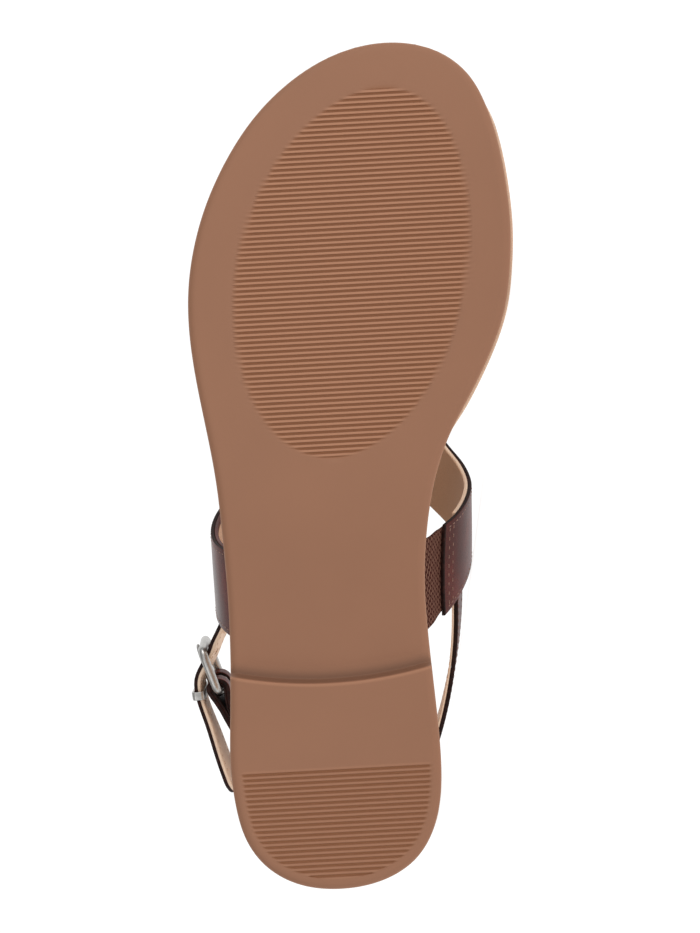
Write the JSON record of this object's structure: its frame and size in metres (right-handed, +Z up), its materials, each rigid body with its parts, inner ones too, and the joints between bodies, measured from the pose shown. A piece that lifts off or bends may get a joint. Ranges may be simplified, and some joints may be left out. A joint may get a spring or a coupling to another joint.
{
  "type": "t-strap sandal",
  "caption": "Flat t-strap sandal with a ribbed rubber outsole, low heel block, leather thong bands, elastic gore and a buckled heel strap, lying on its side.",
  "frame": {"origin": "on the floor, under the middle of the bounding box", "axes": "+X towards the toe, +Y from the tread towards the upper, +Z up, with the medial side of the shoe down"},
  "size_m": [0.251, 0.0654, 0.0944],
  "materials": {
    "outsole": "matt moulded gum rubber",
    "insole": "smooth tan footbed cover",
    "upper": "polished dark brown, beige lining",
    "elastic_gore": "ribbed brown elastic",
    "heel_strap": "polished dark brown, beige lining",
    "buckle_strap": "polished dark brown, beige lining",
    "buckle_frame": "satin silver",
    "buckle_prong": "satin silver",
    "keeper_loop": "satin silver"
  },
  "bodies": {
    "root": {"outsole": "outsole", "insole": "insole", "upper": "upper", "elastic_gore": "elastic_gore", "heel_strap": "heel_strap", "buckle_strap": "buckle_strap", "buckle_frame": "buckle_frame", "buckle_prong": "buckle_prong", "keeper_loop": "keeper_loop"}
  },
  "joints": []
}
